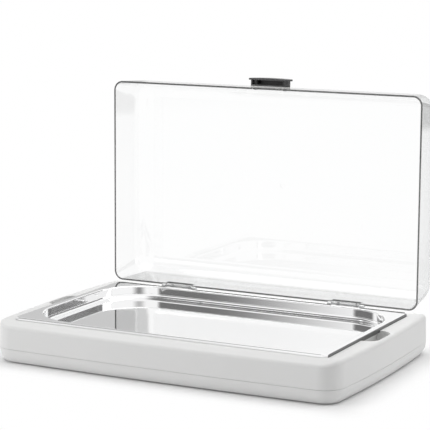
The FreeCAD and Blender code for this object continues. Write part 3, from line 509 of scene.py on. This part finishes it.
handle_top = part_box("handle")[1][2]
handle_skin = joined_copy("handle")
plate_edges = soften(handle_skin, HANDLE_EDGE_SIZE, lambda co: co.z > handle_top - HANDLE_PLATE)
print("handle edges rounded:", plate_edges)
make_piece("handle_skin", handle_skin, "hood", black_plastic, ["handle"])
make_piece("handle_pad_skin", joined_copy("handle_pad"), "hood", pale_pad, ["handle_pad"])

# %% Finishes of the nodes that stay as they are
stay = {"insulation_slab": bead_foam, "case_screws": bright_zinc, "cold_pack_left": pack_plastic,
        "cold_pack_right": pack_plastic, "cold_pack_plug_left": plug_plastic,
        "cold_pack_plug_right": plug_plastic, "hinge_pin_left": bright_zinc, "hinge_pin_right": bright_zinc,
        "hinge_screws": bright_zinc, "handle_inserts": turned_brass, "handle_screws": bright_zinc}
for corner in ("front_left", "front_right", "rear_left", "rear_right"):
    stay["foot_" + corner] = black_rubber
for node, material in stay.items():
    node_mesh = frame["nodes"][node].data
    node_mesh.materials.clear()
    node_mesh.materials.append(material)
print("nodes kept with a new finish:", len(stay))

# %% [markdown]
# ## Floor and surround
# The server stands on a white table in front of a white wall. Extra light would turn the table white, but it
# would wash the object out too. So the lamps stay plain, and both surfaces shine white only for the rays
# that go to the eye, to a mirror or through glass. Near the object the table is ordinary paint, which keeps
# the object's shadow.

# %% Rays that see the white surroundings
def sees_surroundings(nodes, links):
    """Output that is 1 for camera, mirror and glass rays, and 0 for the rays that gather light."""
    ray = nodes.new("ShaderNodeLightPath")
    total = ray.outputs["Is Camera Ray"]
    for kind in ("Is Glossy Ray", "Is Transmission Ray"):
        total = number_step(nodes, links, "MAXIMUM", total, ray.outputs[kind])
    return total


# %% How far a place on the table is from the base
base_low, base_high = (Vector(corner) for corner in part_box("lower_shell"))


def vector_step(nodes, links, operation, source, constant=(0, 0, 0)):
    """Output of a Vector Math node; the constant is its second input, where it uses one."""
    step = nodes.new("ShaderNodeVectorMath")
    step.operation = operation
    links.new(source, step.inputs[0])
    step.inputs[1].default_value = constant
    return step.outputs["Value" if operation == "LENGTH" else "Vector"]


def distance_from_base(nodes, links):
    """Distance outside the base's box, 0 under it."""
    where = nodes.new("ShaderNodeTexCoord")
    middle, half_size = (base_low + base_high) / 2, (base_high - base_low) / 2
    offset = vector_step(nodes, links, "SUBTRACT", where.outputs["Object"], middle)
    one_corner = vector_step(nodes, links, "ABSOLUTE", offset)
    past_edges = vector_step(nodes, links, "SUBTRACT", one_corner, half_size)
    outside = vector_step(nodes, links, "MAXIMUM", past_edges)
    return vector_step(nodes, links, "LENGTH", outside)


# %% Table paint that turns pure white away from the object
FADE_START, FADE_END = 2 * MM, 55 * MM

table_paint = new_finish("table white", (0.93, 0.93, 0.93), (0.95, 0.95, 0.95), 0.9, 40, 0)
nodes, links = table_paint.node_tree.nodes, table_paint.node_tree.links
fade = smooth_ramp(nodes, links, distance_from_base(nodes, links), FADE_START, FADE_END)
amount = number_step(nodes, links, "MULTIPLY", fade, sees_surroundings(nodes, links))
pure_white = nodes.new("ShaderNodeEmission").outputs["Emission"]
blend = shader_mix(nodes, links, amount, nodes["Principled BSDF"].outputs["BSDF"], pure_white)
links.new(blend, nodes["Material Output"].inputs["Surface"])
print("table turns white between", FADE_START, "and", FADE_END, "metres from the base")

# %% Table top
TABLE_HALF_WIDTH = 6

bm = bmesh.new()
bmesh.ops.create_grid(bm, x_segments=1, y_segments=1, size=TABLE_HALF_WIDTH)
table = new_object("table_top", bm)
table.data.materials.append(table_paint)

# %% Surround
AMBIENT = 0.30

world = bpy.data.worlds.new("white surround")
bpy.context.scene.world = world
world.use_nodes = True
nodes, links = world.node_tree.nodes, world.node_tree.links
background = nodes["Background"]
background.inputs["Color"].default_value = (1, 1, 1, 1)
strength = nodes.new("ShaderNodeMapRange")
strength.inputs["To Min"].default_value = AMBIENT
strength.inputs["To Max"].default_value = 1.0
links.new(sees_surroundings(nodes, links), strength.inputs["Value"])
links.new(strength.outputs["Result"], background.inputs["Strength"])

# %% [markdown]
# ## Lamps and cards
# One wide lamp overhead and one to each side leave the corner that faces the eye a little darker, which is
# what shows its roundness. A mirror in a white room is white and shows no shape, so studios stand dark cards
# just outside the view. These cards are seen by mirror rays alone and take no light from anything.

# %% Soft lamps
def aimed(place, target):
    return (Vector(target) - Vector(place)).to_track_quat("-Z", "Y").to_euler()


def soft_lamp(name, place, width, height, power):
    lamp = bpy.data.lights.new(name, "AREA")
    lamp.shape = "RECTANGLE"
    lamp.size, lamp.size_y = width, height
    lamp.energy = power
    holder = bpy.data.objects.new(name, lamp)
    holder.location = place
    holder.rotation_euler = aimed(place, (0, 0, 0.1))
    holder.visible_glossy = False
    bpy.context.scene.collection.objects.link(holder)


soft_lamp("overhead", (0, 0.2, 2.2), 2.6, 2.2, 36)
soft_lamp("front_left", (-2.0, -1.7, 0.9), 1.4, 1.4, 24)
soft_lamp("right", (2.2, 1.3, 0.9), 1.4, 1.4, 14)
print("lamps:", len(bpy.data.lights))


# %% Paint of the dark cards
def card_paint(name, tone, soft_edge):
    """Grey that shows only to light that has met a mirror, and fades out within soft_edge of each side."""
    paint = bpy.data.materials.new(name)
    paint.use_nodes = True
    nodes, links = paint.node_tree.nodes, paint.node_tree.links
    grey = nodes.new("ShaderNodeEmission")
    grey.inputs["Color"].default_value = (tone, tone, tone, 1)
    unseen = nodes.new("ShaderNodeBsdfTransparent")
    ray = nodes.new("ShaderNodeLightPath")
    where = nodes.new("ShaderNodeTexCoord")
    split = nodes.new("ShaderNodeSeparateXYZ")
    links.new(where.outputs["Generated"], split.inputs["Vector"])
    cover = number_step(nodes, links, "MINIMUM", ray.outputs["Glossy Depth"], 1.0)
    for axis in ("X", "Y"):
        from_side = number_step(nodes, links, "PINGPONG", split.outputs[axis], 0.5)
        fading = smooth_ramp(nodes, links, from_side, 0.0, soft_edge)
        cover = number_step(nodes, links, "MULTIPLY", fading, cover)
    surface = shader_mix(nodes, links, cover, unseen.outputs["BSDF"], grey.outputs["Emission"])
    links.new(surface, nodes["Material Output"].inputs["Surface"])
    return paint


# %% Dark cards for the mirror
def mirror_card(name, place, width, height, tone, soft_edge):
    """Card that faces the object; soft_edge is a share of its width and height."""
    bm = bmesh.new()
    bmesh.ops.create_grid(bm, x_segments=1, y_segments=1, size=0.5)
    bmesh.ops.scale(bm, vec=(width, height, 1), verts=bm.verts)
    card = new_object(name, bm)
    card.data.materials.append(card_paint(name + " paint", tone, soft_edge))
    card.location = place
    card.rotation_euler = aimed(place, (0, 0, 0.07))
    for kind in ("camera", "diffuse", "volume_scatter", "shadow"):
        setattr(card, "visible_" + kind, False)


mirror_card("card_front_left", (-1.75, -1.25, 0.5), 3.2, 0.85, 0.18, 0.22)
mirror_card("card_back_right", (1.6, 2.1, 0.62), 2.8, 1.16, 0.16, 0.03)
mirror_card("card_back_left", (-2.2, 2.2, 0.6), 1.6, 1.4, 0.60, 0.03)
mirror_card("card_by_camera", (1.45, -2.85, 0.5), 2.4, 1.6, 0.20, 0.5)
mirror_card("card_overhead", (-1.6, -0.5, 2.4), 3.2, 3.2, 0.22, 0.3)

# %% [markdown]
# ## The view
# The camera stands to the right and a little above the deck, where both the pan's well and the inside of
# the hood show. It looks through a long lens from almost three metres away, which keeps edges that are
# parallel on the object nearly parallel to the eye. Three angles turn it: round the upright, down, and tilt.

# %% Camera
camera_data = bpy.data.cameras.new("camera")
camera_data.sensor_width = 36
camera_data.lens = 148.9
camera_data.clip_end = 50
camera = bpy.data.objects.new("camera", camera_data)
bpy.context.scene.collection.objects.link(camera)
bpy.context.scene.camera = camera
YAW, PITCH, ROLL = math.radians(26.952), math.radians(9.18), math.radians(0.351)
camera_place = Vector((1.24117, -2.43602, 0.66969))
forward = Vector((-math.sin(YAW) * math.cos(PITCH), math.cos(YAW) * math.cos(PITCH), -math.sin(PITCH)))
level = Vector((math.cos(YAW), math.sin(YAW), 0))
upright = level.cross(forward)
right = math.cos(ROLL) * level + math.sin(ROLL) * upright
up = math.cos(ROLL) * upright - math.sin(ROLL) * level
turn_matrix = Matrix((right, up, -forward)).transposed().to_4x4()
camera.matrix_world = Matrix.Translation(camera_place) @ turn_matrix
print("camera at", [round(v, 3) for v in camera_place], "lens", round(camera_data.lens, 1))

bpy.context.scene.view_settings.view_transform = "Standard"
